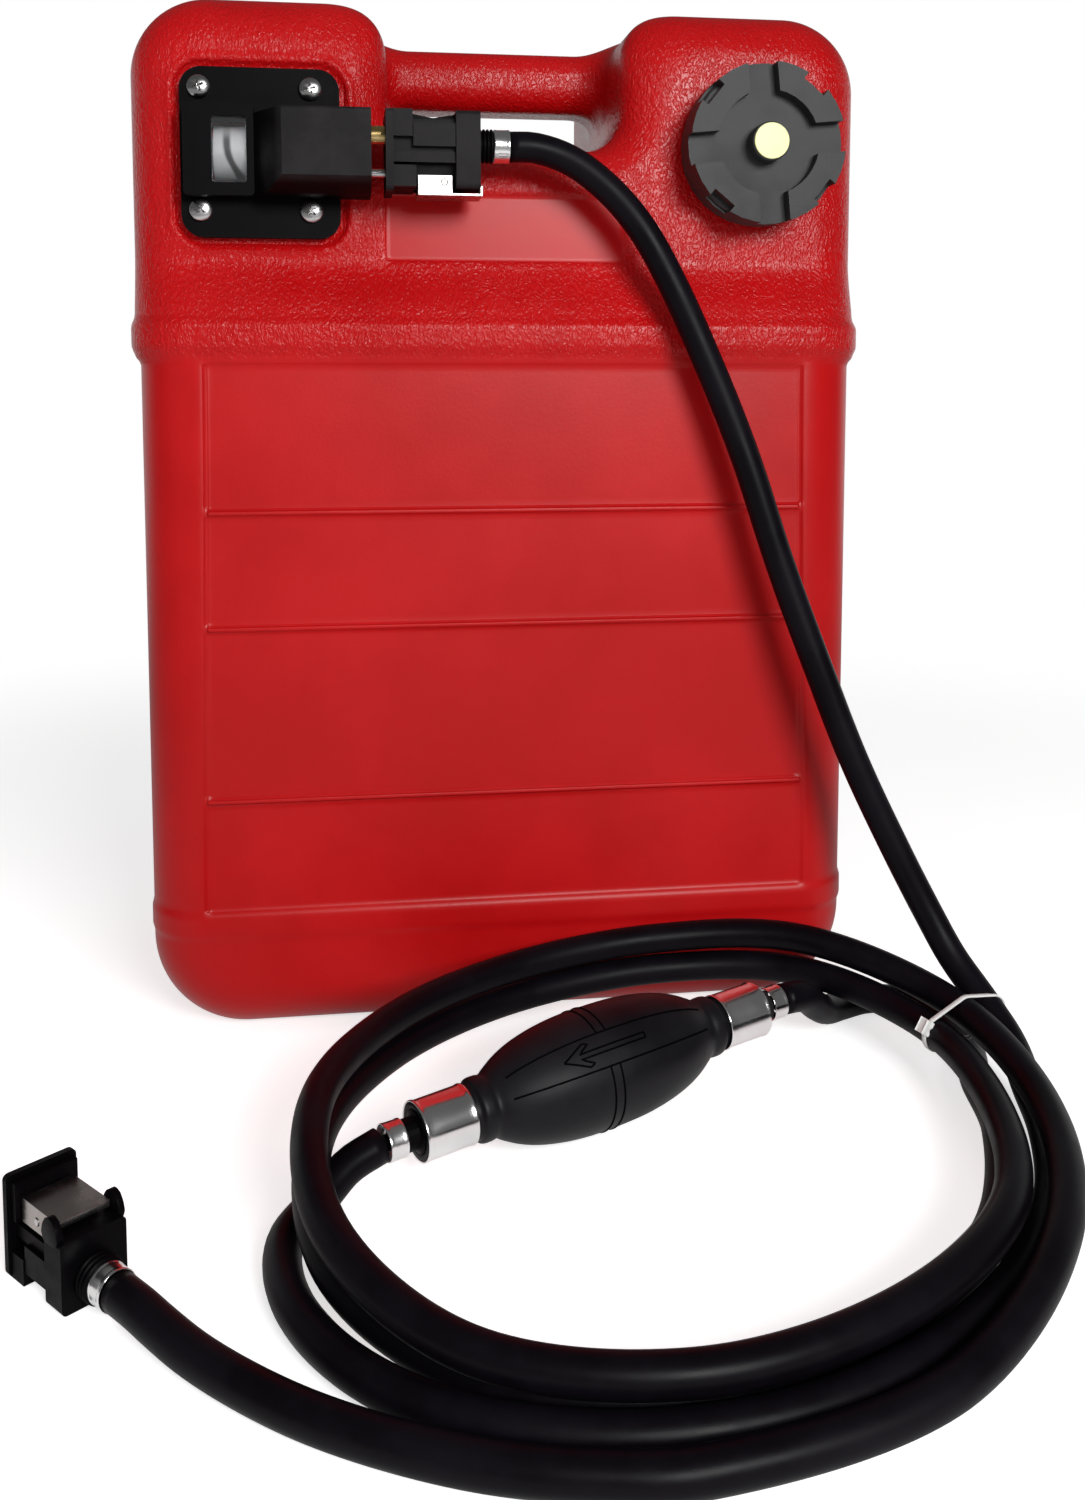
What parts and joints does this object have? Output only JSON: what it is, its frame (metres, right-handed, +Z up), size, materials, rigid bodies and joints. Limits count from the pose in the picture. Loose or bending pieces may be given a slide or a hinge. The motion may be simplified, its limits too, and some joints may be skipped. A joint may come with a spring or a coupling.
{
  "type": "portable outboard fuel tank",
  "caption": "Portable outboard fuel tank with a vented filler cap, a gauge and outlet unit, and a fuel line with primer bulb and quick connectors.",
  "frame": {"origin": "on the floor, under the middle of the tank's width and depth", "axes": "+Z up, -Y out of the front face with the cap and gauge, +X to the right seen from the front"},
  "size_m": [0.4217, 0.505, 0.491],
  "materials": {
    "red_shell": "blow-moulded red plastic with a fine grain",
    "black_plastic": "matte black moulded plastic",
    "black_rubber": "smooth black rubber",
    "bright_steel": "bright stainless steel",
    "brass": "turned brass",
    "pale_disc": "pale yellow plastic",
    "clear_lens": "clear moulded lens",
    "white_nylon": "white nylon",
    "float_foam": "closed-cell foam"
  },
  "bodies": {
    "tank": {"tank_body": "red_shell", "gauge_housing": "black_plastic", "gauge_window": "clear_lens", "gauge_gasket": "black_rubber", "gauge_screw_1": "bright_steel", "gauge_screw_2": "bright_steel", "gauge_screw_3": "bright_steel", "gauge_screw_4": "bright_steel", "gauge_axle": "bright_steel", "pickup_tube": "black_plastic", "pickup_strainer": "brass", "fuel_pin": "brass", "locating_pin": "bright_steel", "hose_tank_lead": "black_rubber", "hose_bulb_lead": "black_rubber", "hose_coil": "black_rubber", "hose_engine_lead": "black_rubber", "cable_tie": "white_nylon", "primer_bulb": "black_rubber", "bulb_tank_side_crimp": "bright_steel", "bulb_engine_side_crimp": "bright_steel", "bulb_tank_side_band": "bright_steel", "bulb_engine_side_band": "bright_steel", "bulb_tank_side_valve": "black_plastic", "bulb_engine_side_valve": "black_plastic", "engine_connector": "black_plastic", "engine_latch_pin": "bright_steel", "engine_latch_spring": "bright_steel", "engine_check_spring": "bright_steel", "engine_seal_ring": "black_rubber", "engine_hose_crimp": "bright_steel"},
    "cap_seal": {"cap_gasket": "black_rubber"},
    "cap": {"filler_cap": "black_plastic", "vent_seal": "black_rubber"},
    "vent": {"vent_knob": "black_plastic", "vent_disc": "pale_disc"},
    "float_unit": {"gauge_drum": "white_nylon", "float_arm": "bright_steel", "float": "float_foam"},
    "tank_connector": {"tank_connector": "black_plastic", "tank_latch_pin": "bright_steel", "tank_latch_spring": "bright_steel", "tank_check_spring": "bright_steel", "tank_seal_ring": "black_rubber", "tank_hose_crimp": "bright_steel"},
    "tank_latch": {"tank_latch": "bright_steel"},
    "tank_check": {"tank_check_plunger": "black_plastic"},
    "engine_latch": {"engine_latch": "bright_steel"},
    "engine_check": {"engine_check_plunger": "black_plastic"},
    "bulb_inlet_check": {"bulb_tank_side_check_disc": "brass"},
    "bulb_outlet_check": {"bulb_engine_side_check_disc": "brass"}
  },
  "joints": [
    {"name": "cap_turn", "type": "hinge", "parent": "cap_seal", "child": "cap", "pos_m": [0.1185, -0.083, 0.4235], "axis": [0, -1, 0], "range_deg": [0, 540]},
    {"name": "cap_rise", "type": "slide", "parent": "tank", "child": "cap_seal", "axis": [0, -1, 0], "range_m": [0, 0.006]},
    {"name": "vent_turn", "type": "hinge", "parent": "cap", "child": "vent", "pos_m": [0.1185, -0.083, 0.4235], "axis": [0, -1, 0], "range_deg": [0, 360]},
    {"name": "float_swing", "type": "hinge", "parent": "tank", "child": "float_unit", "pos_m": [-0.128, -0.083, 0.417], "axis": [1, 0, 0], "range_deg": [0, 60]},
    {"name": "tank_connector_pull", "type": "slide", "parent": "tank", "child": "tank_connector", "axis": [1, 0, 0], "range_m": [0, 0.026], "deforming": ["hose_tank_lead"]},
    {"name": "tank_check_push", "type": "slide", "parent": "tank_connector", "child": "tank_check", "axis": [1, 0, 0], "range_m": [-0.004, 0], "deforming": ["tank_check_spring"]},
    {"name": "tank_latch_press", "type": "hinge", "parent": "tank_connector", "child": "tank_latch", "pos_m": [-0.0328, -0.108, 0.4015], "axis": [0, -1, 0], "range_deg": [0, 5], "stiffness_Nm_per_rad": 0.6, "deforming": ["tank_latch_spring"]},
    {"name": "engine_latch_press", "type": "hinge", "parent": "tank", "child": "engine_latch", "pos_m": [-0.17977, -0.2733, 0.0252], "axis": [0.7707, 0.6372, 0], "range_deg": [0, 5], "stiffness_Nm_per_rad": 0.6, "deforming": ["engine_latch_spring"]},
    {"name": "engine_check_push", "type": "slide", "parent": "tank", "child": "engine_check", "axis": [0.6372, -0.7707, 0], "range_m": [0, 0.004], "stiffness_N_per_m": 250, "deforming": ["engine_check_spring"]},
    {"name": "bulb_inlet_check_lift", "type": "slide", "parent": "tank", "child": "bulb_inlet_check", "axis": [0.9195, 0.388, 0.0633], "range_m": [0, 0.0015]},
    {"name": "bulb_outlet_check_lift", "type": "slide", "parent": "tank", "child": "bulb_outlet_check", "axis": [0.9195, 0.388, 0.0633], "range_m": [0, 0.0015]}
  ],
  "couplings": [
    {"joint": "cap_rise", "follows": "cap_turn", "m_per_rad": 0.0006366},
    {"joint": "tank_check_push", "follows": "tank_connector_pull", "ratio": -0.15385}
  ]
}
